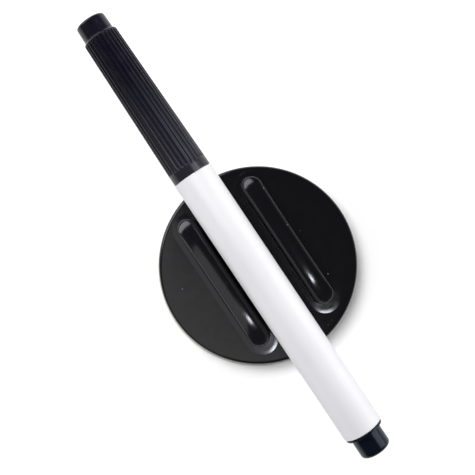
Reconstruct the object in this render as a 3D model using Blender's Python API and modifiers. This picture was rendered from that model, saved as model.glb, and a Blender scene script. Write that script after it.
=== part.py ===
"""Lens cleaning pen lying on its round wiping puck, as separate pieces.

The row frame has its origin at the centre of the puck's felt face, +Z up. The pen lies along X in the
channel between the puck's two grip ridges, with its cap towards -X and its rear plug towards +X.
Sizes are written in millimetres and multiplied by MM.
"""

import math

import bmesh
import bpy
from mathutils import Matrix, Vector

MM = 0.001

# Driving dimensions, in millimetres.
BARREL_RADIUS = 5.5
BARREL_LENGTH = 79.3
CAP_LENGTH = 48.0
PLUG_LENGTH = 6.7
PUCK_RADIUS = 26.5
PUCK_COVER_HEIGHT = 6.65
FELT_THICKNESS = 2.6
RIDGE_SPACING = 20.2
RIDGE_LENGTH = 39.8
RIDGE_WIDTH = 5.9
RIDGE_HEIGHT = 4.8

# Clearances, in millimetres.
SLIP = 0.15
REST_GAP = 0.2
GLUE_GAP = 0.15

# Where the pen lies on the puck. The joint between cap and barrel is the pen's own zero.
CAP_JOINT_X = -29.4
PEN_Y = -1.1
COVER_BOTTOM = FELT_THICKNESS + GLUE_GAP
CHANNEL_FLOOR = COVER_BOTTOM + PUCK_COVER_HEIGHT
PEN_Z = CHANNEL_FLOOR + REST_GAP + BARREL_RADIUS

# Barrel.
BARREL_WALL = 1.0
BARREL_EDGE = 0.3
SPIGOT_RADIUS = 4.2
SPIGOT_LENGTH = 9.0
SPIGOT_WALL = 0.8
FRONT_STOP = 3.0
BORE_RADIUS = BARREL_RADIUS - BARREL_WALL
FRONT_BORE_RADIUS = SPIGOT_RADIUS - SPIGOT_WALL

# Tip holder, soft tip and feed wick.
HOLDER_FLANGE = 1.1
HOLDER_LAND_RADIUS = 2.75
HOLDER_NOSE_Z = -22.0
HOLDER_LAND_Z = -14.0
TIP_SOCKET_DEPTH = 5.0
TIP_SOCKET_RADIUS = 2.3
TIP_HEAD_RADIUS = 2.6
TIP_HEAD_LENGTH = 5.2
WICK_RADIUS = 1.5

# Reservoir.
RESERVOIR_START = FRONT_STOP + 0.4
RESERVOIR_END = 69.8
CORE_RADIUS = 4.0
FILM_THICKNESS = 0.15
BREATHER_RADIUS = 0.45
BREATHER_BORE = 0.25

# Rear plug.
PLUG_RADIUS = 4.25
PLUG_FLANGE_RADIUS = 5.3
PLUG_FLANGE = 0.6
PLUG_INSERT = 8.5
PLUG_WALL = 1.0
PLUG_ROUND = 1.1

# Cap.
CAP_MOUTH_RADIUS = 5.43
CAP_STEP_RADIUS = 4.78
CAP_NECK_LENGTH = 4.7
CAP_STEP_CHAMFER = 0.45
CAP_NECK_RADIUS = 4.22
CAP_TIP_RADIUS = 4.14
CAP_TIP_ROUND = 0.8
CAP_SOCKET_DEPTH = 11.0
CAP_SOCKET_RADIUS = SPIGOT_RADIUS + SLIP
CAP_END_WALL = 1.1
FLUTES = 26
FLUTE_RADIUS = 0.42
FLUTE_SINK = 0.14
FLUTE_MARGIN = 2.8
LINER_RADIUS = 3.3
LINER_BORE = 3.0
LINER_LIP_BORE = HOLDER_LAND_RADIUS + SLIP
LINER_MOUTH_Z = -16.0

# Puck.
COVER_ROUND = 1.6
COVER_PLATE = 2.1
COVER_WALL = 1.9
FELT_RADIUS = PUCK_RADIUS + 1.6
FELT_ROUND = 0.5
PLINTH_HEIGHT = 0.35
PLINTH_MARGIN = 1.6
PLINTH_TAIL = 1.2
RIDGE_SHIFT = -1.4
RIDGE_WALL = 1.5
TAPE_THICKNESS = 0.2

# Mesh fineness.
ROUND_STEPS = 40
PUCK_STEPS = 72
CAPSULE_RINGS = 13

CAP_END = -CAP_LENGTH
CAP_STEP = CAP_END + CAP_NECK_LENGTH


def clear_scene():
    for old in list(bpy.data.objects):
        bpy.data.objects.remove(old)


def new_collection(name):
    collection = bpy.data.collections.new(name)
    bpy.context.scene.collection.children.link(collection)
    return collection


def material(name, colour, roughness, metallic=0.0):
    made = bpy.data.materials.new(name)
    made.use_nodes = True
    shader = made.node_tree.nodes["Principled BSDF"]
    shader.inputs["Base Color"].default_value = (*colour, 1.0)
    shader.inputs["Roughness"].default_value = roughness
    shader.inputs["Metallic"].default_value = metallic
    return made


def add_object(name, mesh, collection, finish=None, parent=None):
    obj = bpy.data.objects.new(name, mesh)
    collection.objects.link(obj)
    if finish is not None:
        mesh.materials.append(finish)
    if parent is not None:
        obj.parent = parent
    return obj


def arc(centre_r, centre_z, radius, start, end, count=5):
    """Points of a rounded corner in a turned profile. Angle 0 points outwards and 90 along +Z."""
    points = []
    for step in range(count + 1):
        angle = math.radians(start + (end - start) * step / count)
        points.append((centre_r + radius * math.cos(angle), centre_z + radius * math.sin(angle)))
    return points


def turned(name, profile, collection, finish=None, parent=None, closed=False, steps=ROUND_STEPS):
    """A turned piece about its own Z. The profile is (radius, z) in millimetres, down the outer side."""
    mesh = bpy.data.meshes.new(name)
    points = [(r * MM, 0.0, z * MM) for r, z in profile]
    edges = [(i, i + 1) for i in range(len(points) - 1)]
    if closed:
        edges.append((len(points) - 1, 0))
    mesh.from_pydata(points, edges, [])
    obj = add_object(name, mesh, collection, finish, parent)
    screw = obj.modifiers.new("Turn", "SCREW")
    screw.axis = "Z"
    screw.angle = math.tau
    screw.steps = steps
    screw.render_steps = steps
    screw.use_merge_vertices = True
    screw.merge_threshold = 0.00001
    return obj


def boolean(obj, cutter, operation):
    modifier = obj.modifiers.new(f"{operation.title()} {cutter.name}", "BOOLEAN")
    modifier.operation = operation
    modifier.object = cutter
    modifier.solver = "EXACT"
    return modifier


def as_helper(obj):
    obj.hide_render = True
    obj.display_type = "WIRE"
    return obj


def capsule_bmesh(radius, length, segments, rings=CAPSULE_RINGS):
    """A capsule along Z, as a sphere with an odd ring count pulled apart at its middle, in metres."""
    made = bmesh.new()
    bmesh.ops.create_uvsphere(made, u_segments=segments, v_segments=rings, radius=radius)
    pull = length / 2 - radius
    for vertex in made.verts:
        vertex.co.z += pull if vertex.co.z > 0 else -pull
    return made


def keep_above(made, height):
    """Cut the shape level at a height in metres, keep what is above it and close the cut."""
    geometry = [*made.verts, *made.edges, *made.faces]
    plane = Vector((0.0, 0.0, height))
    bmesh.ops.bisect_plane(made, geom=geometry, plane_co=plane, plane_no=(0, 0, 1), clear_inner=True)
    rim = [edge for edge in made.edges if edge.is_boundary]
    bmesh.ops.contextual_create(made, geom=rim)
    bmesh.ops.recalc_face_normals(made, faces=made.faces[:])


def mesh_from(made, name):
    mesh = bpy.data.meshes.new(name)
    made.to_mesh(mesh)
    made.free()
    return mesh


def cap_outer_radius(z):
    """The fluted part tapers from the mouth to the step."""
    return CAP_MOUTH_RADIUS + (CAP_STEP_RADIUS - CAP_MOUTH_RADIUS) * z / CAP_STEP


def make_materials():
    return {
        "white": material("barrel_white", (0.80, 0.79, 0.81), 0.38),
        "black_gloss": material("cap_black", (0.012, 0.013, 0.018), 0.28),
        "black_satin": material("cover_black", (0.014, 0.014, 0.016), 0.34),
        "natural": material("natural_polymer", (0.72, 0.72, 0.70), 0.45),
        "fibre": material("fibre_white", (0.82, 0.81, 0.78), 0.95),
        "film": material("film_clear", (0.75, 0.77, 0.80), 0.15),
        "foam": material("foam_grey", (0.22, 0.22, 0.23), 0.95),
        "felt": material("felt_cream", (0.66, 0.63, 0.56), 1.0),
        "tape": material("tape_white", (0.70, 0.69, 0.64), 0.6),
    }


def make_barrel(parts, finish, axis):
    bevel = BARREL_EDGE
    profile = [
        (BORE_RADIUS, BARREL_LENGTH),
        (BARREL_RADIUS - bevel, BARREL_LENGTH),
        *arc(BARREL_RADIUS - bevel, BARREL_LENGTH - bevel, bevel, 90, 0, 3)[1:],
        (BARREL_RADIUS, bevel),
        *arc(BARREL_RADIUS - bevel, bevel, bevel, 0, -90, 3)[1:],
        (SPIGOT_RADIUS, 0.0),
        (SPIGOT_RADIUS, -SPIGOT_LENGTH + bevel),
        (SPIGOT_RADIUS - bevel, -SPIGOT_LENGTH),
        (FRONT_BORE_RADIUS, -SPIGOT_LENGTH),
        (FRONT_BORE_RADIUS, FRONT_STOP),
        (BORE_RADIUS, FRONT_STOP),
    ]
    return turned("barrel", profile, parts, finish, axis, closed=True)


def make_tip_holder(parts, finish, axis):
    sleeve_radius = FRONT_BORE_RADIUS - SLIP
    flange_back = -SPIGOT_LENGTH - REST_GAP
    flange_front = flange_back - HOLDER_FLANGE
    socket_back = HOLDER_NOSE_Z + TIP_SOCKET_DEPTH
    wick_bore = WICK_RADIUS + SLIP
    profile = [
        (wick_bore, FRONT_STOP - 1.0),
        (sleeve_radius - 0.3, FRONT_STOP - 1.0),
        (sleeve_radius, FRONT_STOP - 1.6),
        (sleeve_radius, flange_back),
        (SPIGOT_RADIUS - 0.1, flange_back),
        (SPIGOT_RADIUS - 0.1, flange_front + 0.3),
        (SPIGOT_RADIUS - 0.4, flange_front),
        (HOLDER_LAND_RADIUS + 0.6, flange_front - 0.6),
        (HOLDER_LAND_RADIUS, HOLDER_LAND_Z),
        (HOLDER_LAND_RADIUS, HOLDER_NOSE_Z + 0.4),
        (HOLDER_LAND_RADIUS - 0.25, HOLDER_NOSE_Z),
        (TIP_SOCKET_RADIUS, HOLDER_NOSE_Z),
        (TIP_SOCKET_RADIUS, socket_back),
        (wick_bore, socket_back),
    ]
    return turned("tip_holder", profile, parts, finish, axis, closed=True)


def make_cleaning_tip(parts, finish, axis):
    shank_radius = TIP_SOCKET_RADIUS - SLIP
    head_back = HOLDER_NOSE_Z - REST_GAP
    head_end = head_back - TIP_HEAD_LENGTH
    shank_back = HOLDER_NOSE_Z + TIP_SOCKET_DEPTH - 1.0
    profile = [
        (0.0, shank_back),
        (shank_radius, shank_back),
        (shank_radius, head_back),
        (TIP_HEAD_RADIUS, head_back),
        *arc(0.0, head_end + TIP_HEAD_RADIUS, TIP_HEAD_RADIUS, 0, -90, 6),
    ]
    return turned("cleaning_tip", profile, parts, finish, axis, steps=32)


def make_feed_wick(parts, finish, axis):
    front = HOLDER_NOSE_Z + TIP_SOCKET_DEPTH - 1.0 + REST_GAP
    back = RESERVOIR_START + 5.0
    profile = [
        (0.0, back),
        (WICK_RADIUS - 0.3, back),
        (WICK_RADIUS, back - 0.6),
        (WICK_RADIUS, front),
        (0.0, front),
    ]
    return turned("feed_wick", profile, parts, finish, axis, steps=24)


def make_breather_tube(parts, finish, axis):
    start = RESERVOIR_START + 0.2
    end = RESERVOIR_END - 0.2
    profile = [
        (BREATHER_BORE, end),
        (BREATHER_RADIUS, end),
        (BREATHER_RADIUS, start),
        (BREATHER_BORE, start),
    ]
    tube = turned("breather_tube", profile, parts, finish, axis, closed=True, steps=12)
    tube.location.x = (CORE_RADIUS - BREATHER_RADIUS) * MM
    return tube


def make_reservoir_core(parts, cutters, finish, axis):
    socket_end = RESERVOIR_START + 5.0 + REST_GAP
    socket_radius = WICK_RADIUS + SLIP
    profile = [
        (0.0, RESERVOIR_END),
        (CORE_RADIUS - 0.3, RESERVOIR_END),
        (CORE_RADIUS, RESERVOIR_END - 0.3),
        (CORE_RADIUS, RESERVOIR_START + 0.3),
        (CORE_RADIUS - 0.3, RESERVOIR_START),
        (socket_radius, RESERVOIR_START),
        (socket_radius, socket_end),
        (0.0, socket_end),
    ]
    core = turned("reservoir_core", profile, parts, finish, axis, steps=36)
    notch_profile = [
        (0.0, RESERVOIR_END + 1.0),
        (BREATHER_RADIUS + SLIP, RESERVOIR_END + 1.0),
        (BREATHER_RADIUS + SLIP, RESERVOIR_START - 1.0),
        (0.0, RESERVOIR_START - 1.0),
    ]
    notch = as_helper(turned("breather_notch", notch_profile, cutters, parent=axis, steps=16))
    notch.location.x = (CORE_RADIUS - BREATHER_RADIUS) * MM
    boolean(core, notch, "DIFFERENCE")
    return core


def make_reservoir_film(parts, finish, axis):
    outer = CORE_RADIUS + SLIP + FILM_THICKNESS
    profile = [
        (outer - FILM_THICKNESS, RESERVOIR_END),
        (outer, RESERVOIR_END),
        (outer, RESERVOIR_START),
        (outer - FILM_THICKNESS, RESERVOIR_START),
    ]
    return turned("reservoir_film", profile, parts, finish, axis, closed=True, steps=36)


def make_rear_plug(parts, finish, axis):
    insert_radius = BORE_RADIUS - SLIP
    flange_front = BARREL_LENGTH + SLIP
    flange_back = flange_front + PLUG_FLANGE
    end = BARREL_LENGTH + PLUG_LENGTH
    insert_front = BARREL_LENGTH - PLUG_INSERT
    hollow = insert_radius - PLUG_WALL
    profile = [
        (0.0, end),
        *arc(PLUG_RADIUS - PLUG_ROUND, end - PLUG_ROUND, PLUG_ROUND, 90, 0, 4),
        (PLUG_RADIUS, flange_back),
        (PLUG_FLANGE_RADIUS, flange_back),
        (PLUG_FLANGE_RADIUS, flange_front),
        (insert_radius, flange_front),
        (insert_radius, insert_front + 0.4),
        (insert_radius - 0.3, insert_front),
        (hollow, insert_front),
        (hollow, end - PLUG_ROUND - PLUG_WALL),
        (0.0, end - PLUG_ROUND - PLUG_WALL),
    ]
    return turned("rear_plug", profile, parts, finish, axis)


def make_flute_cutter(cutters, axis):
    """All the cap's grooves as one cutter. Each groove follows the taper and runs out over the step."""
    end_z = -FLUTE_MARGIN - FLUTE_RADIUS
    start_z = CAP_STEP - 2.0
    end_point = Vector((cap_outer_radius(end_z) - FLUTE_SINK, 0.0, end_z)) * MM
    start_point = Vector((cap_outer_radius(start_z) - FLUTE_SINK, 0.0, start_z)) * MM
    along = end_point - start_point
    length = along.length + 2 * FLUTE_RADIUS * MM
    lean = Vector((0, 0, 1)).rotation_difference(along).to_matrix().to_4x4()
    place = Matrix.Translation((start_point + end_point) / 2) @ lean
    joined = bmesh.new()
    for index in range(FLUTES):
        groove = capsule_bmesh(FLUTE_RADIUS * MM, length, segments=10, rings=5)
        bmesh.ops.transform(groove, matrix=place, verts=groove.verts)
        turn = Matrix.Rotation(math.tau * (index + 0.5) / FLUTES, 4, "Z")
        bmesh.ops.transform(groove, matrix=turn, verts=groove.verts)
        piece = mesh_from(groove, "groove")
        joined.from_mesh(piece)
        bpy.data.meshes.remove(piece)
    return as_helper(add_object("flute_cutter", mesh_from(joined, "flute_cutter"), cutters, parent=axis))


def make_cap_shell(parts, cutters, finish, axis):
    mouth = -SLIP
    socket_end = -CAP_SOCKET_DEPTH
    bore_end = CAP_END + CAP_END_WALL
    profile = [
        (CAP_SOCKET_RADIUS, mouth),
        (CAP_MOUTH_RADIUS - 0.15, mouth),
        (CAP_MOUTH_RADIUS, mouth - 0.15),
        (cap_outer_radius(CAP_STEP + CAP_STEP_CHAMFER), CAP_STEP + CAP_STEP_CHAMFER),
        (CAP_NECK_RADIUS + 0.1, CAP_STEP),
        (CAP_NECK_RADIUS, CAP_STEP - 0.1),
        (CAP_TIP_RADIUS, CAP_END + CAP_TIP_ROUND),
        *arc(CAP_TIP_RADIUS - CAP_TIP_ROUND, CAP_END + CAP_TIP_ROUND, CAP_TIP_ROUND, 0, -90, 4)[1:],
        (0.0, CAP_END),
        (0.0, bore_end),
        (LINER_RADIUS + 0.15, bore_end),
        (LINER_RADIUS + 0.15, CAP_STEP),
        (LINER_RADIUS + 0.45, socket_end - 0.3),
        (CAP_SOCKET_RADIUS, socket_end),
    ]
    shell = turned("cap_shell", profile, parts, finish, axis, closed=True, steps=FLUTES * 2)
    boolean(shell, make_flute_cutter(cutters, axis), "DIFFERENCE")
    return shell


def make_cap_liner(parts, finish, axis):
    end = CAP_END + CAP_END_WALL + SLIP
    lip_end = HOLDER_NOSE_Z + 1.0
    profile = [
        (LINER_LIP_BORE, LINER_MOUTH_Z),
        (LINER_RADIUS, LINER_MOUTH_Z),
        (LINER_RADIUS, end),
        (0.0, end),
        (0.0, end + 1.0),
        (LINER_BORE, end + 1.0),
        (LINER_BORE, lip_end),
        (LINER_LIP_BORE, lip_end + 0.5),
    ]
    return turned("cap_liner", profile, parts, finish, axis, closed=True, steps=36)


def make_ridge_body(name, cutters, side, shrink):
    """A domed grip ridge, or the core inside it when shrink is its wall, standing on the cover."""
    width = RIDGE_WIDTH - 2 * shrink
    length = RIDGE_LENGTH - 2 * shrink
    dome = capsule_bmesh(width / 2 * MM, length * MM, segments=20)
    height = RIDGE_HEIGHT - shrink
    lay_down = Matrix.Rotation(math.pi / 2, 4, "Y")
    stretch = Matrix.Diagonal((1.0, 1.0, height / (width / 2), 1.0))
    bmesh.ops.transform(dome, matrix=stretch @ lay_down, verts=dome.verts)
    if shrink == 0:
        keep_above(dome, -COVER_PLATE / 2 * MM)
    obj = as_helper(add_object(name, mesh_from(dome, name), cutters))
    floor = CHANNEL_FLOOR if shrink == 0 else CHANNEL_FLOOR - 0.2
    obj.location = Vector((RIDGE_SHIFT, side * RIDGE_SPACING / 2, floor)) * MM
    return obj


def make_plinth(name, cutters, side):
    """The low step that a ridge stands on, longer towards the plug end."""
    radius = RIDGE_WIDTH / 2 + PLINTH_MARGIN
    length = RIDGE_LENGTH + 2 * PLINTH_MARGIN + PLINTH_TAIL
    slab = capsule_bmesh(radius * MM, length * MM, segments=24)
    lay_down = Matrix.Rotation(math.pi / 2, 4, "Y")
    flatten = Matrix.Diagonal((1.0, 1.0, 2 * PLINTH_HEIGHT / radius, 1.0))
    bmesh.ops.transform(slab, matrix=flatten @ lay_down, verts=slab.verts)
    obj = as_helper(add_object(name, mesh_from(slab, name), cutters))
    centre_z = CHANNEL_FLOOR - PLINTH_HEIGHT
    obj.location = Vector((RIDGE_SHIFT + PLINTH_TAIL / 2, side * RIDGE_SPACING / 2, centre_z)) * MM
    return obj


def make_puck_cover(parts, cutters, finish):
    inner = PUCK_RADIUS - COVER_WALL
    plate_underside = CHANNEL_FLOOR - COVER_PLATE
    profile = [
        (0.0, CHANNEL_FLOOR),
        *arc(PUCK_RADIUS - COVER_ROUND, CHANNEL_FLOOR - COVER_ROUND, COVER_ROUND, 90, 0, 5),
        (PUCK_RADIUS, COVER_BOTTOM + 0.3),
        (PUCK_RADIUS - 0.3, COVER_BOTTOM),
        (inner, COVER_BOTTOM),
        (inner, plate_underside),
        (0.0, plate_underside),
    ]
    cover = turned("puck_cover", profile, parts, finish, steps=PUCK_STEPS)
    for label, side in (("left", -1), ("right", 1)):
        boolean(cover, make_plinth(f"plinth_{label}", cutters, side), "UNION")
        boolean(cover, make_ridge_body(f"ridge_{label}", cutters, side, 0.0), "UNION")
        core = make_ridge_body(f"ridge_core_{label}", cutters, side, RIDGE_WALL)
        boolean(cover, core, "DIFFERENCE")
    return cover


def make_disc(name, parts, finish, radius, bottom, top, round_radius=0.0):
    if round_radius:
        profile = [
            (0.0, top),
            *arc(radius - round_radius, top - round_radius, round_radius, 90, 0, 3),
            *arc(radius - round_radius, bottom + round_radius, round_radius, 0, -90, 3),
            (0.0, bottom),
        ]
    else:
        profile = [(0.0, top), (radius, top), (radius, bottom), (0.0, bottom)]
    return turned(name, profile, parts, finish, steps=PUCK_STEPS)


def make_puck_pad(parts, finishes):
    """The soft stack under the cover: felt face, tape, foam core and a second tape."""
    recess_radius = PUCK_RADIUS - COVER_WALL - GLUE_GAP
    plate_underside = CHANNEL_FLOOR - COVER_PLATE
    lower_tape = FELT_THICKNESS + GLUE_GAP
    upper_tape = plate_underside - GLUE_GAP - TAPE_THICKNESS
    foam_bottom = lower_tape + TAPE_THICKNESS + GLUE_GAP
    foam_top = upper_tape - GLUE_GAP
    make_disc("felt_face", parts, finishes["felt"], FELT_RADIUS, 0.0, FELT_THICKNESS, FELT_ROUND)
    make_disc("pad_tape", parts, finishes["tape"], recess_radius, lower_tape, lower_tape + TAPE_THICKNESS)
    make_disc("foam_core", parts, finishes["foam"], recess_radius, foam_bottom, foam_top)
    make_disc("cover_tape", parts, finishes["tape"], recess_radius, upper_tape, upper_tape + TAPE_THICKNESS)


def make_axis(name, collection, parent=None):
    """An empty whose Z runs along the pen, from the cap towards the plug."""
    empty = bpy.data.objects.new(name, None)
    collection.objects.link(empty)
    if parent is None:
        empty.location = Vector((CAP_JOINT_X, PEN_Y, PEN_Z)) * MM
        empty.rotation_euler = (0.0, math.pi / 2, 0.0)
    else:
        empty.parent = parent
    return empty


def main():
    clear_scene()
    parts = new_collection("lens_cleaning_pen")
    cutters = new_collection("cutters")
    finishes = make_materials()
    pen_axis = make_axis("pen_axis", parts)
    cap_axis = make_axis("cap_axis", parts, pen_axis)
    make_barrel(parts, finishes["white"], pen_axis)
    make_tip_holder(parts, finishes["natural"], pen_axis)
    make_cleaning_tip(parts, finishes["fibre"], pen_axis)
    make_feed_wick(parts, finishes["fibre"], pen_axis)
    make_reservoir_core(parts, cutters, finishes["fibre"], pen_axis)
    make_breather_tube(parts, finishes["natural"], pen_axis)
    make_reservoir_film(parts, finishes["film"], pen_axis)
    make_rear_plug(parts, finishes["black_gloss"], pen_axis)
    make_cap_shell(parts, cutters, finishes["black_gloss"], cap_axis)
    make_cap_liner(parts, finishes["natural"], cap_axis)
    make_puck_cover(parts, cutters, finishes["black_satin"])
    make_puck_pad(parts, finishes)


main()
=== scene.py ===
# %% [markdown]
# # A lens cleaning pen on its round wiping puck
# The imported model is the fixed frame: it gives every piece its place and says which body it moves with.
# The pieces below are finer versions of what can be seen, and each one takes its place from the frame.

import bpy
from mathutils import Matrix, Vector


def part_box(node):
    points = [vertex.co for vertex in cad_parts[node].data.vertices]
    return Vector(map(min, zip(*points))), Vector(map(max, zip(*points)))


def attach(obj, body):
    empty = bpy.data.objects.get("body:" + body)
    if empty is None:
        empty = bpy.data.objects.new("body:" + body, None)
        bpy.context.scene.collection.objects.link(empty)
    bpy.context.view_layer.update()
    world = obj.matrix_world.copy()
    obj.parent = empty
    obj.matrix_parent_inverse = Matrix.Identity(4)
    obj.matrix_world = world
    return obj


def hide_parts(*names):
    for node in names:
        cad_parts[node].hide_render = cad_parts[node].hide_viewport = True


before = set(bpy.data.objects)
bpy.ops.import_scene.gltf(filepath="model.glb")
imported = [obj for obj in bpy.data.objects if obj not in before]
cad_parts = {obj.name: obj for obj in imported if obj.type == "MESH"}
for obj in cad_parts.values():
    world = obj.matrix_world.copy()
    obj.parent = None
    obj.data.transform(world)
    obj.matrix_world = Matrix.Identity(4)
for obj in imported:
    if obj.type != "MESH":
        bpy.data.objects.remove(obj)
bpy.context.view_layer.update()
print("nodes:", sorted(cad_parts))

# %% Tools
import math

import bmesh
import bpy
from mathutils import Matrix

MM = 0.001
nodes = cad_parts
scene = bpy.context.scene

# %% [markdown]
# The pen is a set of round pieces on one line along X. The barrel's box gives that line, and the ends of
# the other boxes give the places where one piece stops and the next begins.

# %% Measure the pen and the puck
barrel_low, barrel_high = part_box("barrel")
cap_low, cap_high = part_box("cap_shell")
plug_low, plug_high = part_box("rear_plug")
cover_low, cover_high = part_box("puck_cover")
felt_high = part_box("felt_face")[1]
holder_low, holder_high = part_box("tip_holder")
tip_low, tip_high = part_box("cleaning_tip")

PEN_Y = (barrel_low.y + barrel_high.y) / 2
PEN_Z = (barrel_low.z + barrel_high.z) / 2
BARREL_RADIUS = (barrel_high.z - barrel_low.z) / 2
SPIGOT_LENGTH = 9.0 * MM
JOINT_X = barrel_low.x + SPIGOT_LENGTH
PUCK_RADIUS = cover_high.x
RIDGE_HEIGHT = 4.8 * MM
CHANNEL_FLOOR = cover_high.z - RIDGE_HEIGHT
print("pen line at", round(PEN_Y / MM, 2), round(PEN_Z / MM, 2), "mm")
print("barrel radius", round(BARREL_RADIUS / MM, 2), "mm, cap joint at", round(JOINT_X / MM, 2), "mm")
print("puck radius", round(PUCK_RADIUS / MM, 2), "mm, channel floor at", round(CHANNEL_FLOOR / MM, 2), "mm")

# %% [markdown]
# Nearly every piece is round, so one way of working serves them all: start from a circle, draw it out
# along its axis with extrude, and resize the new ring each time. A lathe or a spun profile would do as
# well. Rings are chosen because each one can be read as a place and a radius, as on a maker's drawing.

# %% Draw a ring out along its axis
def on_axis(axis, amount):
    return (amount, 0.0, 0.0) if axis == "X" else (0.0, 0.0, amount)


def ring_centre(axis, centre, place):
    return (place, centre[0], centre[1]) if axis == "X" else (centre[0], centre[1], place)


def draw_out(name, axis, centre, stations, sides):
    """Make a round shell through stations of (place, radius). It is left in edit mode, with its last ring
    selected.
    """
    bpy.ops.object.select_all(action="DESELECT")
    place, radius = stations[0]
    turn = (0.0, math.pi / 2, 0.0) if axis == "X" else (0.0, 0.0, math.pi / sides)
    bpy.ops.mesh.primitive_circle_add(
        vertices=sides, radius=radius, location=ring_centre(axis, centre, place), rotation=turn
    )
    bpy.ops.object.transform_apply(location=True, rotation=True, scale=True)
    piece = bpy.context.object
    piece.name = name
    piece.data.name = name
    bpy.ops.object.mode_set(mode="EDIT")
    bpy.ops.mesh.select_mode(type="VERT")
    bpy.ops.mesh.select_all(action="SELECT")
    for next_place, next_radius in stations[1:]:
        step = on_axis(axis, next_place - place)
        bpy.ops.mesh.extrude_region_move(TRANSFORM_OT_translate={"value": step})
        grow = next_radius / radius
        value = (1.0, grow, grow) if axis == "X" else (grow, grow, 1.0)
        bpy.ops.transform.resize(value=value, center_override=ring_centre(axis, centre, next_place))
        place, radius = next_place, next_radius
    return piece


def rounded_corner(place, radius, size, from_angle, to_angle, steps=6):
    """Stations round a corner of that size. Angle 0 points outwards and 90 along the axis."""
    stations = []
    for step in range(steps + 1):
        angle = math.radians(from_angle + (to_angle - from_angle) * step / steps)
        stations.append((place + size * math.sin(angle), radius + size * math.cos(angle)))
    return stations


print("a rounded corner has", len(rounded_corner(0.0, 1.0, 0.5, 90, 0)), "stations")

# %% [markdown]
# A drawn shell may be open at its ends, and a ring that comes back to where it began has doubled points.
# Merging them first and then filling what is still open makes every shell closed, and its normals are made
# to face outwards only then, because on an open shell Blender can't tell which side is out.

# %% Close and finish a piece
def close_open_rings(piece):
    """Fill each open ring with a face. Rings that lie on each other are merged first."""
    bpy.ops.mesh.select_all(action="SELECT")
    bpy.ops.mesh.remove_doubles(threshold=0.002 * MM)
    bpy.ops.mesh.select_all(action="DESELECT")
    bpy.ops.mesh.select_mode(type="EDGE")
    mesh = bmesh.from_edit_mesh(piece.data)
    open_edges = [edge for edge in mesh.edges if edge.is_boundary]
    for edge in open_edges:
        edge.select = True
    bmesh.update_edit_mesh(piece.data)
    if open_edges:
        bpy.ops.mesh.edge_face_add()
    bpy.ops.mesh.select_mode(type="FACE")
    bpy.ops.mesh.select_all(action="SELECT")
    bpy.ops.mesh.normals_make_consistent(inside=False)


def apply_modifiers(piece):
    for modifier in list(piece.modifiers):
        bpy.ops.object.modifier_apply(modifier=modifier.name)


def leave_bench(piece, sharp_angle=40.0):
    """Back to object mode, shaded smooth except over sharp corners."""
    bpy.ops.object.mode_set(mode="OBJECT")
    bpy.ops.object.select_all(action="DESELECT")
    piece.select_set(True)
    bpy.context.view_layer.objects.active = piece
    apply_modifiers(piece)
    bpy.ops.object.shade_smooth_by_angle(angle=math.radians(sharp_angle))
    return piece


def fit(piece, body, slot, *replaced):
    """Hand the piece to its body and hide the plain nodes that it stands for. The slot is not used."""
    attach(piece, body)
    if replaced:
        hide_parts(*replaced)
    print(piece.name, "-", len(piece.data.polygons), "faces, rides on", body)


# %% [markdown]
# Plastics, felt and fibre all get their surface from the same few nodes: noise on object coordinates,
# scaled in real millimetres. Object coordinates are used because every piece sits at the origin, so the
# pattern stays the same size on all of them.

# %% Start a finish
def start_finish(name, colour, roughness):
    finish = bpy.data.materials.new(name)
    finish.use_nodes = True
    shader = finish.node_tree.nodes["Principled BSDF"]
    shader.inputs["Base Color"].default_value = (*colour, 1.0)
    shader.inputs["Roughness"].default_value = roughness
    return finish, finish.node_tree, shader


def grain(tree, per_mm, stretch=(1.0, 1.0, 1.0), detail=3.0):
    """Noise on object coordinates, with per_mm lumps to each millimetre."""
    place = tree.nodes.new("ShaderNodeTexCoord")
    mapping = tree.nodes.new("ShaderNodeMapping")
    mapping.inputs["Scale"].default_value = stretch
    noise = tree.nodes.new("ShaderNodeTexNoise")
    noise.inputs["Scale"].default_value = per_mm / MM
    noise.inputs["Detail"].default_value = detail
    tree.links.new(place.outputs["Object"], mapping.inputs["Vector"])
    tree.links.new(mapping.outputs["Vector"], noise.inputs["Vector"])
    return noise.outputs["Fac"]


def between(tree, factor, low, high, start=0.35, end=0.65):
    """Turn a factor into a number between low and high."""
    span = tree.nodes.new("ShaderNodeMapRange")
    span.inputs["From Min"].default_value = start
    span.inputs["From Max"].default_value = end
    span.inputs["To Min"].default_value = low
    span.inputs["To Max"].default_value = high
    tree.links.new(factor, span.inputs["Value"])
    return span.outputs["Result"]


def blend_colours(tree, factor, first, second, start=0.35, end=0.65):
    """Colour that goes from first to second as the factor rises."""
    ramp = tree.nodes.new("ShaderNodeValToRGB")
    ramp.color_ramp.elements[0].position = start
    ramp.color_ramp.elements[0].color = (*first, 1.0)
    ramp.color_ramp.elements[1].position = end
    ramp.color_ramp.elements[1].color = (*second, 1.0)
    tree.links.new(factor, ramp.inputs["Fac"])
    return ramp.outputs["Color"]


def raise_surface(tree, shader, height, depth, before=None):
    """Bump of that depth in metres, added to an earlier bump if there is one."""
    bump = tree.nodes.new("ShaderNodeBump")
    bump.inputs["Distance"].default_value = depth
    bump.inputs["Strength"].default_value = 1.0
    tree.links.new(height, bump.inputs["Height"])
    if before is not None:
        tree.links.new(before, bump.inputs["Normal"])
    tree.links.new(bump.outputs["Normal"], shader.inputs["Normal"])
    return bump.outputs["Normal"]


# %% [markdown]
# The barrel is extruded polypropylene: white, satin, a little cool. Drawing it through the die leaves faint
# lines along its length, so its bump is noise stretched along X.

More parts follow.
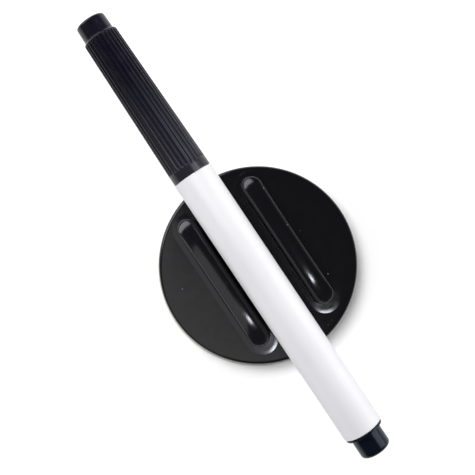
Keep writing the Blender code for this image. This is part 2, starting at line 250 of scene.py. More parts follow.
# %% Barrel white
barrel_white, tree, shader = start_finish("barrel_white", (0.59, 0.585, 0.60), 0.48)
tone = grain(tree, 0.06)
whites = blend_colours(tree, tone, (0.58, 0.575, 0.59), (0.60, 0.595, 0.61))
tree.links.new(whites, shader.inputs["Base Color"])
die_lines = grain(tree, 2.2, stretch=(0.02, 1.0, 1.0))
tree.links.new(between(tree, die_lines, 0.42, 0.54), shader.inputs["Roughness"])
drawn = raise_surface(tree, shader, die_lines, 0.004 * MM)
raise_surface(tree, shader, grain(tree, 6.0), 0.002 * MM, drawn)
print("made", barrel_white.name)

# %% [markdown]
# The cap and the plug are moulded from a black plastic with a blue cast, polished by the mould. Handling
# dulls them unevenly, so fine rub marks along the pen make the roughness and the bump wander. Towards its
# mouth the cap's colour is painted paler by a gradient along X, a painted reflection that stands in for the
# sheen on the mouth band. The plug is the bluer of the two, so its shine is tinted as well.

# %% Cap and plug black
def moulded_black(name, deep, light, gloss, matt, peel):
    """Black from deep to light, roughness from gloss to matt, and a skin as uneven as peel in metres."""
    finish, tree, shader = start_finish(name, deep, gloss)
    shader.inputs["IOR"].default_value = 1.37
    tree.links.new(blend_colours(tree, grain(tree, 0.35), deep, light), shader.inputs["Base Color"])
    rub_marks = grain(tree, 3.0, stretch=(0.12, 1.0, 1.0), detail=6.0)
    tree.links.new(between(tree, rub_marks, gloss, matt), shader.inputs["Roughness"])
    first = raise_surface(tree, shader, grain(tree, 0.9, detail=1.0), peel)
    raise_surface(tree, shader, rub_marks, peel / 12, first)
    return finish


def paint_sheen_along(finish, start_x, end_x, paler):
    """Let the colour grow paler along the pen, between two places, as a painted reflection."""
    tree = finish.node_tree
    colour = tree.nodes["Principled BSDF"].inputs["Base Color"]
    place = tree.nodes.new("ShaderNodeTexCoord")
    along = tree.nodes.new("ShaderNodeSeparateXYZ")
    tree.links.new(place.outputs["Object"], along.inputs["Vector"])
    mix = tree.nodes.new("ShaderNodeMix")
    mix.data_type = "RGBA"
    tree.links.new(between(tree, along.outputs["X"], 0.0, 1.0, start_x, end_x), mix.inputs["Factor"])
    tree.links.new(colour.links[0].from_socket, mix.inputs["A"])
    mix.inputs["B"].default_value = (*paler, 1.0)
    tree.links.new(mix.outputs["Result"], colour)


PEEL = 0.002 * MM
SHEEN_LENGTH = 30.0 * MM
cap_black = moulded_black("cap_black", (0.005, 0.0045, 0.011), (0.008, 0.0075, 0.015), 0.18, 0.26, PEEL)
# The cap's colour turns paler towards its mouth: a painted reflection standing in for the sheen on the
# mouth band.
paint_sheen_along(cap_black, cap_high.x - SHEEN_LENGTH, cap_high.x, (0.026, 0.025, 0.032))
plug_black = moulded_black("plug_black", (0.003, 0.0055, 0.012), (0.005, 0.0085, 0.018), 0.14, 0.20, PEEL)
plug_black.node_tree.nodes["Principled BSDF"].inputs["Specular Tint"].default_value = (0.72, 0.85, 1.0, 1.0)
print("made", cap_black.name, "and", plug_black.name)

# %% [markdown]
# The puck's cover is a satin black moulding that has picked up a few specks of dust. A speck is the middle
# of a Voronoi cell that happens to lie on the surface, and a second, broad noise keeps them in a few
# patches. Painting them on an image would work too, but the script would then need a file beside it.

# %% Cover black
COVER_COLOUR = (0.0025, 0.0024, 0.0042)
DUST_COLOUR = (0.30, 0.30, 0.30)
cover_black, tree, shader = start_finish("cover_black", COVER_COLOUR, 0.2)
place = tree.nodes.new("ShaderNodeTexCoord")
specks = tree.nodes.new("ShaderNodeTexVoronoi")
specks.inputs["Scale"].default_value = 0.28 / MM
tree.links.new(place.outputs["Object"], specks.inputs["Vector"])
speck_shape = between(tree, specks.outputs["Distance"], 1.0, 0.0, 0.04, 0.06)
speck_few = between(tree, grain(tree, 0.09), 0.0, 1.0, 0.43, 0.46)
speck = tree.nodes.new("ShaderNodeMath")
speck.operation = "MULTIPLY"
tree.links.new(speck_shape, speck.inputs[0])
tree.links.new(speck_few, speck.inputs[1])
dusty = blend_colours(tree, speck.outputs[0], COVER_COLOUR, DUST_COLOUR, 0.2, 0.8)
tree.links.new(dusty, shader.inputs["Base Color"])
satin = grain(tree, 0.5, detail=5.0)
tree.links.new(between(tree, satin, 0.14, 0.19), shader.inputs["Roughness"])
mould_skin = raise_surface(tree, shader, grain(tree, 0.25, detail=1.0), 0.001 * MM)
raise_surface(tree, shader, grain(tree, 9.0), 0.0006 * MM, mould_skin)
print("made", cover_black.name)

# %% [markdown]
# The wiping face is pressed wool felt. Its look is short fibres in every direction, so two noises stretched
# along different lines are laid over each other, for colour and for height, with a soft sheen on top.

# %% Felt cream
felt_cream, tree, shader = start_finish("felt_cream", (0.72, 0.71, 0.63), 1.0)
fibres_along = grain(tree, 5.0, stretch=(0.25, 1.0, 1.0), detail=6.0)
fibres_across = grain(tree, 5.0, stretch=(1.0, 0.25, 1.0), detail=6.0)
matted = tree.nodes.new("ShaderNodeMath")
matted.operation = "MAXIMUM"
tree.links.new(fibres_along, matted.inputs[0])
tree.links.new(fibres_across, matted.inputs[1])
creams = blend_colours(tree, matted.outputs[0], (0.65, 0.64, 0.56), (0.80, 0.79, 0.71), 0.4, 0.7)
tree.links.new(creams, shader.inputs["Base Color"])
shader.inputs["Sheen Weight"].default_value = 0.3
raise_surface(tree, shader, matted.outputs[0], 0.12 * MM)
print("made", felt_cream.name)

# %% [markdown]
# The pieces inside are finished too, since they show when the cap is off or the puck is turned over:
# unpigmented plastic, bonded fibre, clear film, foam and tape.

# %% Finishes of the inner pieces
natural_polymer, tree, shader = start_finish("natural_polymer", (0.74, 0.74, 0.71), 0.42)
shader.inputs["Subsurface Weight"].default_value = 0.25
shader.inputs["Subsurface Radius"].default_value = (0.8 * MM, 0.8 * MM, 0.7 * MM)
tree.links.new(between(tree, grain(tree, 1.5), 0.36, 0.5), shader.inputs["Roughness"])
milky = blend_colours(tree, grain(tree, 0.2), (0.72, 0.72, 0.68), (0.77, 0.77, 0.74))
tree.links.new(milky, shader.inputs["Base Color"])
raise_surface(tree, shader, grain(tree, 4.0), 0.003 * MM)

tip_fibre, tree, shader = start_finish("tip_fibre", (0.84, 0.83, 0.80), 0.95)
strands = grain(tree, 7.0, stretch=(0.15, 1.0, 1.0), detail=5.0)
fibres = blend_colours(tree, strands, (0.70, 0.69, 0.66), (0.88, 0.87, 0.85))
tree.links.new(fibres, shader.inputs["Base Color"])
shader.inputs["Sheen Weight"].default_value = 0.25
raise_surface(tree, shader, strands, 0.05 * MM)

clear_film, tree, shader = start_finish("clear_film", (0.75, 0.77, 0.80), 0.15)
tree.links.new(between(tree, grain(tree, 0.8), 0.10, 0.22), shader.inputs["Roughness"])
raise_surface(tree, shader, grain(tree, 0.5, stretch=(0.2, 1.0, 1.0)), 0.02 * MM)

foam_grey, tree, shader = start_finish("foam_grey", (0.22, 0.22, 0.23), 0.95)
cells = tree.nodes.new("ShaderNodeTexVoronoi")
cells.inputs["Scale"].default_value = 2.5 / MM
place = tree.nodes.new("ShaderNodeTexCoord")
tree.links.new(place.outputs["Object"], cells.inputs["Vector"])
greys = blend_colours(tree, cells.outputs["Distance"], (0.10, 0.10, 0.11), (0.30, 0.30, 0.31), 0.1, 0.6)
tree.links.new(greys, shader.inputs["Base Color"])
raise_surface(tree, shader, cells.outputs["Distance"], 0.1 * MM)

tape_white, tree, shader = start_finish("tape_white", (0.70, 0.69, 0.64), 0.6)
tree.links.new(between(tree, grain(tree, 2.0), 0.5, 0.7), shader.inputs["Roughness"])
raise_surface(tree, shader, grain(tree, 1.0), 0.01 * MM)

inner_finishes = {
    "cap_liner": natural_polymer,
    "breather_tube": natural_polymer,
    "feed_wick": tip_fibre,
    "reservoir_core": tip_fibre,
    "reservoir_film": clear_film,
    "cover_tape": tape_white,
    "pad_tape": tape_white,
    "foam_core": foam_grey,
}
for name, finish in inner_finishes.items():
    nodes[name].data.materials.clear()
    nodes[name].data.materials.append(finish)
print("finished", len(inner_finishes), "inner nodes")

# %% [markdown]
# The barrel is a tube with a thinner spigot at its front for the cap. It could be two cylinders joined, but
# one ring drawn out along the outside, over the end and back through the bore makes the wall in one go.

# %% Barrel
pen = (PEN_Y, PEN_Z)
REAR_X = barrel_high.x
SPIGOT_X = barrel_low.x
BORE_RADIUS = 4.5 * MM
SPIGOT_RADIUS = 4.2 * MM
BEAD_RADIUS = 4.3 * MM
SPIGOT_BORE = 3.4 * MM
BORE_END_X = JOINT_X + 3.0 * MM
EDGE = 0.3 * MM
FRONT_EDGE = 0.12 * MM
stations = [
    (REAR_X, BORE_RADIUS),
    *rounded_corner(REAR_X - EDGE, BARREL_RADIUS - EDGE, EDGE, 90, 0),
    (REAR_X - 25 * MM, BARREL_RADIUS),
    (JOINT_X + 25 * MM, BARREL_RADIUS),
    *rounded_corner(JOINT_X + FRONT_EDGE, BARREL_RADIUS - FRONT_EDGE, FRONT_EDGE, 0, -90, 4),
    (JOINT_X, SPIGOT_RADIUS + 0.05 * MM),
    (JOINT_X - 0.05 * MM, SPIGOT_RADIUS),
    (SPIGOT_X + 3.2 * MM, SPIGOT_RADIUS),
    (SPIGOT_X + 2.9 * MM, BEAD_RADIUS),
    (SPIGOT_X + 2.3 * MM, BEAD_RADIUS),
    (SPIGOT_X + 2.0 * MM, SPIGOT_RADIUS),
    *rounded_corner(SPIGOT_X + EDGE, SPIGOT_RADIUS - EDGE, EDGE, 0, -90),
    (SPIGOT_X, SPIGOT_BORE),
    (BORE_END_X, SPIGOT_BORE),
    (BORE_END_X, BORE_RADIUS),
    (REAR_X, BORE_RADIUS),
]
barrel_tube = draw_out("barrel_tube", "X", pen, stations, 128)
close_open_rings(barrel_tube)
leave_bench(barrel_tube)
barrel_tube.data.materials.append(barrel_white)
fit(barrel_tube, "pen", "barrel_white", "barrel")

# %% [markdown]
# The plug closes the rear. It has a thin flange against the barrel's end, a plain round body and a softly
# rounded end. Its front half is a sleeve inside the barrel.

# %% Rear plug
PLUG_END = plug_high.x
PLUG_RADIUS = 4.25 * MM
PLUG_ROUND = 1.1 * MM
PLUG_HOLLOW_END = PLUG_END - 2.1 * MM
SLEEVE_RADIUS = 4.35 * MM
FLANGE_RADIUS = 5.3 * MM
FLANGE_X = REAR_X + 0.15 * MM
FLANGE_BACK = FLANGE_X + 0.6 * MM
FILLET = 0.2 * MM
stations = [
    (PLUG_END, 0.6 * MM),
    (PLUG_END, 2.0 * MM),
    *rounded_corner(PLUG_END - PLUG_ROUND, PLUG_RADIUS - PLUG_ROUND, PLUG_ROUND, 90, 0, 10),
    (FLANGE_BACK + 0.25 * MM, PLUG_RADIUS),
    *reversed(rounded_corner(FLANGE_BACK + FILLET, PLUG_RADIUS + FILLET, FILLET, 270, 180, 4)),
    *rounded_corner(FLANGE_BACK - 0.15 * MM, FLANGE_RADIUS - 0.15 * MM, 0.15 * MM, 90, 0, 4),
    *rounded_corner(FLANGE_X + 0.1 * MM, FLANGE_RADIUS - 0.1 * MM, 0.1 * MM, 0, -90, 3),
    (FLANGE_X, SLEEVE_RADIUS),
    (plug_low.x + 0.4 * MM, SLEEVE_RADIUS),
    (plug_low.x, SLEEVE_RADIUS - 0.3 * MM),
    (plug_low.x, 3.4 * MM),
    (PLUG_HOLLOW_END, 3.35 * MM),
    (PLUG_HOLLOW_END, 0.6 * MM),
]
end_plug = draw_out("end_plug", "X", pen, stations, 112)
close_open_rings(end_plug)
leave_bench(end_plug)
end_plug.data.materials.append(plug_black)
fit(end_plug, "pen", "plug_black", "rear_plug")

# %% [markdown]
# The cap tapers from its mouth to a step, with a plain neck beyond. It is a closed shell with a bore for
# the spigot, drawn as one ring like the barrel. The ring has five sides to each flute and land, and extra
# stations where the flutes begin and end, so that the flutes can be made from its own faces afterwards.

# %% Cap
FLUTES = 26
COLUMNS = 5
CAP_END = cap_low.x
MOUTH_X = cap_high.x
MOUTH_RADIUS = 5.43 * MM
STEP_X = CAP_END + 4.7 * MM
STEP_RADIUS = 4.78 * MM
NECK_RADIUS = 4.14 * MM
NECK_ROUND = 0.8 * MM
CAP_BORE = 4.35 * MM
DEEP_BORE = 3.45 * MM
BORE_STEP_X = MOUTH_X - 10.85 * MM
FLUTE_START = MOUTH_X - 2.75 * MM
FLUTE_STOP = STEP_X + 0.75 * MM


def taper(x):
    """Outer radius of the fluted part at a place along the pen."""
    return STEP_RADIUS + (MOUTH_RADIUS - STEP_RADIUS) * (x - STEP_X) / (MOUTH_X - STEP_X)


flute_rows = [FLUTE_START, FLUTE_START - 0.45 * MM]
flute_rows += [FLUTE_START + (FLUTE_STOP - FLUTE_START) * share for share in (0.25, 0.5, 0.75)]
flute_rows += [FLUTE_STOP + 0.45 * MM, FLUTE_STOP]
stations = [
    (CAP_END + 2.3 * MM, 0.8 * MM),
    (CAP_END + 1.1 * MM, 0.8 * MM),
    (CAP_END + 1.1 * MM, 3.2 * MM),
    (CAP_END + 1.3 * MM, DEEP_BORE),
    (STEP_X, DEEP_BORE),
    (BORE_STEP_X - 0.35 * MM, 3.75 * MM),
    (BORE_STEP_X, 4.1 * MM),
    (BORE_STEP_X, 4.33 * MM),
    (BORE_STEP_X + 0.45 * MM, CAP_BORE),
    (MOUTH_X - 0.4 * MM, CAP_BORE),
    (MOUTH_X - 0.1 * MM, 4.38 * MM),
    (MOUTH_X, 4.48 * MM),
    (MOUTH_X, 4.9 * MM),
    (MOUTH_X, MOUTH_RADIUS - 0.12 * MM),
    (MOUTH_X - 0.02 * MM, MOUTH_RADIUS - 0.03 * MM),
    (MOUTH_X - 0.12 * MM, MOUTH_RADIUS),
    (MOUTH_X - 0.6 * MM, taper(MOUTH_X - 0.6 * MM)),
    (MOUTH_X - 1.8 * MM, taper(MOUTH_X - 1.8 * MM)),
    *[(x, taper(x)) for x in flute_rows],
    (STEP_X + 0.5 * MM, taper(STEP_X + 0.5 * MM)),
    (STEP_X + 0.4 * MM, taper(STEP_X + 0.4 * MM) - 0.06 * MM),
    (STEP_X + 0.05 * MM, NECK_RADIUS + 0.2 * MM),
    (STEP_X, NECK_RADIUS + 0.11 * MM),
    (STEP_X - 0.1 * MM, NECK_RADIUS + 0.08 * MM),
    (CAP_END + 2.0 * MM, NECK_RADIUS + 0.02 * MM),
    *rounded_corner(CAP_END + NECK_ROUND, NECK_RADIUS - NECK_ROUND, NECK_ROUND, 0, -90, 5),
    (CAP_END, 1.8 * MM),
    (CAP_END, 0.6 * MM),
]
cap_fluted = draw_out("cap_fluted", "X", pen, stations, FLUTES * COLUMNS)
close_open_rings(cap_fluted)
print("cap drawn with", len(stations), "rings of", FLUTES * COLUMNS, "sides")

# %% [markdown]
# The long flutes give the fingers a hold. They could be cut with a Boolean, but then every edge has to be
# cleaned. Three of the five faces are simply picked, inset and pressed in instead, and a subdivision
# surface rounds the flutes' ends.

# %% Flutes
GROOVE_COLUMNS = 3
FLUTE_DEPTH = 0.32 * MM
FLUTE_SLOPE = 0.2 * MM


def select_faces(piece, wanted):
    """Select the faces that pass a test on their centre and normal, and no others."""
    bpy.ops.mesh.select_mode(type="FACE")
    bpy.ops.mesh.select_all(action="DESELECT")
    mesh = bmesh.from_edit_mesh(piece.data)
    picked = 0
    for face in mesh.faces:
        face.select = wanted(face.calc_center_median(), face.normal)
        picked += face.select
    mesh.select_flush_mode()
    bmesh.update_edit_mesh(piece.data)
    return picked


def in_a_flute(centre, normal):
    """True for the outer faces between the flutes' ends that fall in a flute's own columns."""
    if not FLUTE_STOP < centre.x < FLUTE_START:
        return False
    across, up = centre.y - PEN_Y, centre.z - PEN_Z
    if math.hypot(across, up) < CAP_BORE + 0.05 * MM:
        return False
    column = int(math.atan2(up, across) % math.tau / math.tau * FLUTES * COLUMNS)
    return column % COLUMNS < GROOVE_COLUMNS


picked = select_faces(cap_fluted, in_a_flute)
bpy.ops.mesh.inset(thickness=FLUTE_SLOPE, depth=-FLUTE_DEPTH, use_even_offset=True)
bpy.ops.object.mode_set(mode="OBJECT")
round_off = cap_fluted.modifiers.new("Round the flutes", "SUBSURF")
round_off.levels = 2
round_off.render_levels = 2
leave_bench(cap_fluted)
cap_fluted.data.materials.append(cap_black)
print("pressed in", picked, "faces for", FLUTES, "flutes")
fit(cap_fluted, "cap", "cap_black", "cap_shell")

# %% [markdown]
# Under the cap a stepped holder carries the soft tip. Two fine grooves run round its nozzle. They could be
# bevelled in afterwards, but as stations of the same drawing they cost only four rings each.

# %% Tip holder
WICK_BORE = 1.65 * MM
NOZZLE_RADIUS = 2.75 * MM
TIP_SEAT_RADIUS = 2.3 * MM
TIP_SEAT_X = holder_low.x + 5.0 * MM
stations = [
    (holder_high.x, WICK_BORE),
    (holder_high.x, 2.9 * MM),
    (holder_high.x - 0.6 * MM, 3.25 * MM),
    (SPIGOT_X - 0.2 * MM, 3.25 * MM),
    *rounded_corner(SPIGOT_X - 0.3 * MM, 4.0 * MM, 0.1 * MM, 90, 0, 3),
    *rounded_corner(SPIGOT_X - 1.0 * MM, 3.8 * MM, 0.3 * MM, 0, -90, 4),
    (SPIGOT_X - 1.9 * MM, 3.35 * MM),
    (JOINT_X - 13.6 * MM, 2.8 * MM),
    (JOINT_X - 14.0 * MM, NOZZLE_RADIUS),
]
for groove_x in (JOINT_X - 15.0 * MM, JOINT_X - 21.0 * MM):
    stations += [
        (groove_x + 0.2 * MM, NOZZLE_RADIUS),
        (groove_x + 0.1 * MM, NOZZLE_RADIUS - 0.1 * MM),
        (groove_x - 0.1 * MM, NOZZLE_RADIUS - 0.1 * MM),
        (groove_x - 0.2 * MM, NOZZLE_RADIUS),
    ]
stations += [
    *rounded_corner(holder_low.x + 0.25 * MM, NOZZLE_RADIUS - 0.25 * MM, 0.25 * MM, 0, -90, 4),
    (holder_low.x, TIP_SEAT_RADIUS),
    (TIP_SEAT_X, TIP_SEAT_RADIUS),
    (TIP_SEAT_X, WICK_BORE),
    (holder_high.x, WICK_BORE),
]
tip_collar = draw_out("tip_collar", "X", pen, stations, 96)
close_open_rings(tip_collar)
leave_bench(tip_collar)
tip_collar.data.materials.append(natural_polymer)
fit(tip_collar, "pen", "natural_polymer", "tip_holder")

# %% [markdown]
# The tip is a bullet of bonded fibre. After the rings, its surface is roughened a little with a
# displacement, because felted fibre is never quite round.

# %% Roughen a surface
def roughen(piece, lump_size, depth):
    """Press the surface in unevenly, by up to that depth, with a displacement over soft noise."""
    lumps = bpy.data.textures.new(piece.name + "_lumps", "CLOUDS")
    lumps.noise_scale = lump_size
    uneven = piece.modifiers.new("Uneven", "DISPLACE")
    uneven.texture = lumps
    uneven.texture_coords = "LOCAL"
    uneven.mid_level = 1.0
    uneven.strength = depth


print("roughen is ready")

# %% Soft tip
HEAD_BACK = holder_low.x - 0.2 * MM
HEAD_RADIUS = 2.57 * MM
STEM_RADIUS = 2.1 * MM
stations = [
    (tip_high.x, 0.5 * MM),
    (tip_high.x, STEM_RADIUS),
    (HEAD_BACK, STEM_RADIUS),
    (HEAD_BACK, HEAD_RADIUS - 0.12 * MM),
    (HEAD_BACK - 0.2 * MM, HEAD_RADIUS - 0.01 * MM),
    (HEAD_BACK - 1.0 * MM, HEAD_RADIUS),
    *rounded_corner(tip_low.x + HEAD_RADIUS, 0.0, HEAD_RADIUS, 0, -80, 14),
]
soft_tip = draw_out("soft_tip", "X", pen, stations, 72)
close_open_rings(soft_tip)
roughen(soft_tip, 0.7 * MM, 0.08 * MM)
leave_bench(soft_tip, 60.0)
soft_tip.data.materials.append(tip_fibre)
fit(soft_tip, "pen", "tip_fibre", "cleaning_tip")

# %% [markdown]
# The puck's cover is a shallow round moulding with a rounded rim. Its skirt hides the tape and the foam, so
# the ring goes over the top, down the outside and back up inside the skirt.

# %% Cover
centre = (0.0, 0.0)
SKIRT_Z = cover_low.z
RIM_ROUND = 1.1 * MM
SKIRT_EDGE = 0.3 * MM
SKIRT_BORE = 24.6 * MM
UNDERSIDE = CHANNEL_FLOOR - 2.1 * MM
stations = [
    (CHANNEL_FLOOR, 0.8 * MM),
    (CHANNEL_FLOOR, 8.0 * MM),
    (CHANNEL_FLOOR, 16.0 * MM),
    (CHANNEL_FLOOR, 22.0 * MM),
    *rounded_corner(CHANNEL_FLOOR - RIM_ROUND, PUCK_RADIUS - RIM_ROUND, RIM_ROUND, 90, 0, 10),
    (SKIRT_Z + 2.5 * MM, PUCK_RADIUS),
    *rounded_corner(SKIRT_Z + SKIRT_EDGE, PUCK_RADIUS - SKIRT_EDGE, SKIRT_EDGE, 0, -90, 4),
    (SKIRT_Z, SKIRT_BORE),
    (UNDERSIDE, SKIRT_BORE),
    (UNDERSIDE, 10.0 * MM),
    (UNDERSIDE, 0.8 * MM),
]
cover = draw_out("cover", "Z", centre, stations, 192)
close_open_rings(cover)
leave_bench(cover)
cover.data.materials.append(cover_black)
fit(cover, "puck", "cover_black", "puck_cover")

# %% [markdown]
# Two ridges make the grip and the channel. Each one has a steep wall, a dome that is a little fuller than
# an ellipse, and a low plinth round its foot. A box could be given such a shape with several bevels, but
# they would have to agree. Here a ridge starts as a round button, so its ends are right from the start.

# %% Grip ridges
RIDGE_SIDES = 64
RIDGE_HALF_WIDTH = 2.92 * MM
RIDGE_SHIFT = -1.4 * MM
RIDGE_Y = 10.1 * MM
RIDGE_WALL = 2.9 * MM
DOME_FULLNESS = 0.84
PLINTH_EDGE = 4.45 * MM
PLINTH_TOP = CHANNEL_FLOOR + 0.12 * MM
dome_foot = CHANNEL_FLOOR + RIDGE_WALL
dome_height = RIDGE_HEIGHT - RIDGE_WALL
dome_half_width = RIDGE_HALF_WIDTH - 0.05 * MM
crest = []
for step in range(1, 18):
    angle = math.radians(5.2 * step)
    across = dome_half_width * math.cos(angle) ** DOME_FULLNESS
    crest.append((dome_foot + dome_height * math.sin(angle) ** DOME_FULLNESS, across))
stations = [
    (CHANNEL_FLOOR - 0.25 * MM, PLINTH_EDGE),
    (CHANNEL_FLOOR + 0.02 * MM, PLINTH_EDGE),
    *rounded_corner(PLINTH_TOP - 0.08 * MM, PLINTH_EDGE - 0.1 * MM, 0.08 * MM, 0, 90, 4),
    (PLINTH_TOP, RIDGE_HALF_WIDTH + 0.25 * MM),
    (PLINTH_TOP + 0.06 * MM, RIDGE_HALF_WIDTH + 0.08 * MM),
    (PLINTH_TOP + 0.22 * MM, RIDGE_HALF_WIDTH),
    (dome_foot - 0.3 * MM, RIDGE_HALF_WIDTH - 0.02 * MM),
    *crest,
]
left_ridge = draw_out("left_ridge", "Z", (RIDGE_SHIFT, -RIDGE_Y), stations, RIDGE_SIDES)
close_open_rings(left_ridge)
print("button drawn with", len(stations), "rings, crest at", round(stations[-1][0] / MM, 2), "mm")

# %% [markdown]
# The button's two halves are now pulled apart along the pen, which leaves a straight crest between the
# round ends. The plinth's far end is pulled a little further. Scaling the button would be quicker, but it
# would stretch the ends too.

# %% Pull the button out into a ridge
RIDGE_LENGTH = 39.8 * MM
RIDGE_END = 2.95 * MM
RIDGE_PULL = RIDGE_LENGTH / 2 - RIDGE_END
PLINTH_TAIL = 1.2 * MM


def pull(wanted, amount):
    """Move the points that pass a test along X."""
    bpy.ops.mesh.select_mode(type="VERT")
    bpy.ops.mesh.select_all(action="DESELECT")
    mesh = bmesh.from_edit_mesh(left_ridge.data)
    for point in mesh.verts:
        point.select = wanted(point.co)
    mesh.select_flush_mode()
    bmesh.update_edit_mesh(left_ridge.data)
    bpy.ops.transform.translate(value=(amount, 0.0, 0.0))


pull(lambda point: point.x > RIDGE_SHIFT, RIDGE_PULL)
pull(lambda point: point.x < RIDGE_SHIFT, -RIDGE_PULL)
pull(lambda point: point.x > RIDGE_SHIFT and point.z < PLINTH_TOP + 0.01 * MM, PLINTH_TAIL)
print("ridge pulled out to", round(RIDGE_LENGTH / MM, 1), "mm")

# %% [markdown]
# The crest of a moulded ridge isn't dead level. The ridge is cut across with bisect, and its points are
# lowered by the fourth power of their distance from the middle, which keeps the middle level and rolls the
# ends off. A lattice could bend it too, but a formula says what it does.

# %% Lower the crest towards its ends
CREST_DROP = 1.6 * MM
cuts = 16
for cut in range(1, cuts):
    place = RIDGE_SHIFT - RIDGE_PULL + 2 * RIDGE_PULL * cut / cuts
    bpy.ops.mesh.select_all(action="SELECT")
    bpy.ops.mesh.bisect(plane_co=(place, 0.0, 0.0), plane_no=(1.0, 0.0, 0.0))
bpy.ops.object.mode_set(mode="OBJECT")
for point in left_ridge.data.vertices:
    share = max(0.0, (point.co.z - PLINTH_TOP) / RIDGE_HEIGHT)
    point.co.z -= share * CREST_DROP * ((point.co.x - RIDGE_SHIFT) / RIDGE_PULL) ** 4
print("crest drops", round(CREST_DROP / MM, 1), "mm towards its ends, after", cuts - 1, "cuts")
leave_bench(left_ridge, 35.0)
left_ridge.data.materials.append(cover_black)
fit(left_ridge, "puck", "cover_black")

# %% [markdown]
# The other ridge is the same moulding on the far side of the channel. A mirrored one would have its longer
# plinth end in the same place, so a plain copy that is moved across will do.

# %% Copy the ridge to the other side
right_ridge = left_ridge.copy()
right_ridge.data = left_ridge.data.copy()
right_ridge.name = "right_ridge"
right_ridge.data.name = "right_ridge"
right_ridge.data.transform(Matrix.Translation((0.0, 2 * RIDGE_Y, 0.0)))
scene.collection.objects.link(right_ridge)
fit(right_ridge, "puck", "cover_black")

# %% [markdown]
# The felt face is a disc a little wider than the cover, and stuck on a little off centre. Felt cut with a
# die has a soft, uneven edge, so the disc gets rounded corners and then a gentle waviness from a
# displacement. Cloth simulation suits pads that swell or hang, and this one is too thin and dense for that.

# %% Felt pad
FELT_SHIFT = 0.8 * MM
felt_centre = (0.915 * FELT_SHIFT, -0.403 * FELT_SHIFT)
FELT_RADIUS = felt_high.x - FELT_SHIFT
TOP_ROUND = 0.6 * MM
BOTTOM_ROUND = 0.5 * MM
FELT_TOP = felt_high.z
stations = [
    (FELT_TOP, 2.0 * MM),
    (FELT_TOP, 12.0 * MM),
    (FELT_TOP, 20.0 * MM),
    (FELT_TOP, 24.0 * MM),
    (FELT_TOP, 26.0 * MM),
    *rounded_corner(FELT_TOP - TOP_ROUND, FELT_RADIUS - TOP_ROUND, TOP_ROUND, 90, 0, 6),
    *rounded_corner(BOTTOM_ROUND, FELT_RADIUS - BOTTOM_ROUND, BOTTOM_ROUND, 0, -90, 6),
    *[(0.0, ring * MM) for ring in (26.0, 24.5, *range(23, 0, -2))],
]
felt_pad = draw_out("felt_pad", "Z", felt_centre, stations, 256)
close_open_rings(felt_pad)
roughen(felt_pad, 2.5 * MM, 0.16 * MM)
leave_bench(felt_pad, 60.0)
felt_pad.data.materials.append(felt_cream)
fit(felt_pad, "puck", "felt_cream", "felt_face")

# %% [markdown]
# The floor is a plain white table. It glows a little from within, as a light table does, and the glow grows
# with the distance from the puck: near the puck it stays low enough for a shadow, and far away it makes up
# for the lamps' falling light. A colour ramp over the distance from the middle sets it.

# %% Floor
bpy.ops.object.select_all(action="DESELECT")
bpy.ops.mesh.primitive_plane_add(size=12.0, location=(0.0, 0.0, 0.0))
table_top = bpy.context.object
table_top.name = "table_top"
table_white, tree, shader = start_finish("table_white", (0.98, 0.98, 0.98), 0.9)
place = tree.nodes.new("ShaderNodeTexCoord")
distance = tree.nodes.new("ShaderNodeVectorMath")
distance.operation = "LENGTH"
tree.links.new(place.outputs["Object"], distance.inputs[0])
glow = blend_colours(tree, distance.outputs["Value"], (0.075, 0.075, 0.075), (1.0, 1.0, 1.0), 0.03, 1.0)
glow_levels = glow.node.color_ramp.elements
for metres, level in ((0.042, 0.14), (0.13, 0.40)):
    glow_levels.new(metres).color = (level, level, level, 1.0)
tree.links.new(glow, shader.inputs["Emission Color"])
shader.inputs["Emission Strength"].default_value = 1.0
table_top.data.materials.append(table_white)
print("table glow:", [(round(level.position, 3), round(level.color[0], 3)) for level in glow_levels])

# %% [markdown]
# Black gloss mirrors every lamp, which is why a studio keeps its strong lamps off it with flags and
# filters. Light linking does the same here: a lamp's receivers are the pieces that it lights, and its
# blockers are the pieces that throw a shadow in it. The pieces are sorted into groups for that.

# %% Groups for the lamps
def group_of(name, *pieces):
    """A collection that isn't part of the scene and only tells a lamp what to light or what to fall on."""
    group = bpy.data.collections.new(name)
    for piece in pieces:
        group.objects.link(piece)
    return group


inner_nodes = [nodes[name] for name in inner_finishes]
white_group = group_of("white_group", barrel_tube, tip_collar, soft_tip, felt_pad, table_top, *inner_nodes)
barrel_group = group_of("barrel_group", barrel_tube)
pen_group = group_of("pen_group", barrel_tube, end_plug, cap_fluted, tip_collar, soft_tip)
cap_group = group_of("cap_group", cap_fluted)
gloss_group = group_of("gloss_group", cap_fluted, end_plug, cover, left_ridge, right_ridge)
left_group = group_of("left_group", cover, left_ridge)
ridge_group = group_of("ridge_group", left_ridge, right_ridge)
puck_group = group_of("puck_group", cover, left_ridge, right_ridge, felt_pad)
print("groups:", [group.name for group in bpy.data.collections if group.name.endswith("_group")])

# %% [markdown]
# The front lamp lights the white pieces and the table, and the rear lamp and two fills even out the barrel.
# In their light only the puck throws a shadow. Weak panels draw the few highlights that tell how the black
# pieces are shaped: along the flutes, on the plug, along the ridges' feet and round their ends. One small
# lamp makes the bright spot on each ridge. A plain sky of low strength fills in the rest.

# %% Lamps
def lamp(name, place, size, brightness, colour=(1.0, 1.0, 1.0), only_on=None, shadow_of=None):
    """A soft panel aimed at the puck. Place is along the pen, across it and up; brightness is per area."""
    data = bpy.data.lights.new(name, "AREA")
    data.shape = "RECTANGLE"
    data.size, data.size_y = size
    data.energy = brightness * math.pi * size[0] * size[1]
    data.color = colour
    light = bpy.data.objects.new(name, data)
    scene.collection.objects.link(light)
    light.location = place
    light.visible_camera = False
    light.rotation_euler = (-light.location).to_track_quat("-Z", "Y").to_euler()
    if only_on is not None:
        light.light_linking.receiver_collection = only_on
    if shadow_of is not None:
        light.light_linking.blocker_collection = shadow_of
    print(name, "shines with", round(data.energy, 2), "W")


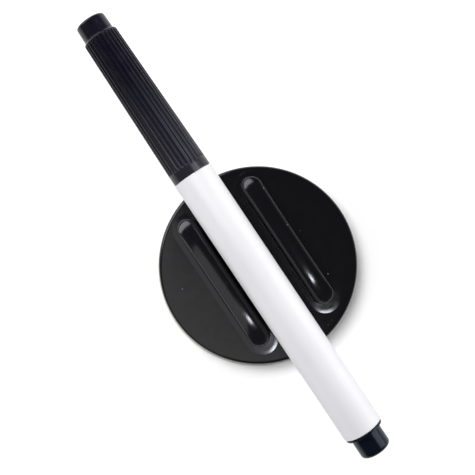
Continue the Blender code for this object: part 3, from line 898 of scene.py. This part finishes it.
lamp("front_lamp", (-0.230, -0.037, 0.55), (0.25, 0.25), 16.8, only_on=white_group, shadow_of=puck_group)
lamp("rear_lamp", (0.50, 0.05, 0.45), (0.25, 0.25), 2.0, only_on=barrel_group, shadow_of=puck_group)
lamp("left_fill", (0.0, -0.436, 0.1125), (0.50, 0.20), 2.15, only_on=barrel_group, shadow_of=puck_group)
lamp("right_fill", (0.0, 0.436, 0.1125), (0.50, 0.20), 3.2, only_on=barrel_group, shadow_of=puck_group)
lamp("side_panel", (0.16, 0.60, 0.36), (0.50, 0.60), 2.4, only_on=pen_group)
lamp("end_panel", (-0.47, -0.15, 0.22), (0.60, 0.24), 4.2, colour=(0.96, 0.96, 1.05), only_on=gloss_group)
VIOLET = (0.93, 0.91, 1.12)
lamp("cap_panel", (0.01, 0.35, 0.46), (0.28, 0.34), 3.7, colour=VIOLET, only_on=cap_group)
lamp("cover_panel", (0.06, -0.28, 0.50), (0.42, 0.56), 0.85, only_on=left_group)
lamp("edge_panel", (0.0, -0.52, 0.17), (0.5, 0.2), 1.2, only_on=ridge_group)
lamp("far_edge_panel", (0.0, 0.52, 0.17), (0.5, 0.2), 0.5, only_on=ridge_group)
COOL = (0.95, 0.97, 1.05)
lamp("glint_lamp", (0.088, -0.002, 0.214), (0.03, 0.03), 30.0, colour=COOL, only_on=ridge_group)

world = bpy.data.worlds.new("studio")
scene.world = world
world.use_nodes = True
world.node_tree.nodes["Background"].inputs["Color"].default_value = (0.93, 0.91, 1.0, 1.0)
world.node_tree.nodes["Background"].inputs["Strength"].default_value = 0.15
scene.view_settings.view_transform = "Standard"
print("lights:", [light.name for light in bpy.data.lights])

# %% [markdown]
# The camera looks almost straight down from a hand's height, turned so that the pen runs from the upper
# left to the lower right. Its place and a small lens shift frame the product. Tilting the camera further
# would frame it as well, but then the round puck would look oval.

# %% Camera
CAMERA_TURN = math.radians(56.2)
camera_data = bpy.data.cameras.new("camera")
camera_data.lens = 67.5
camera_data.sensor_width = 36.0
camera_data.shift_x = 0.033
camera_data.shift_y = -0.050
camera_data.clip_start = 0.01
camera = bpy.data.objects.new("camera", camera_data)
scene.collection.objects.link(camera)
camera.location = (-19.2 * MM, -0.55 * MM, 246.0 * MM)
camera.rotation_euler = (math.radians(-0.45), math.radians(-0.35), CAMERA_TURN)
scene.camera = camera
print("camera at", [round(value / MM, 1) for value in camera.location])
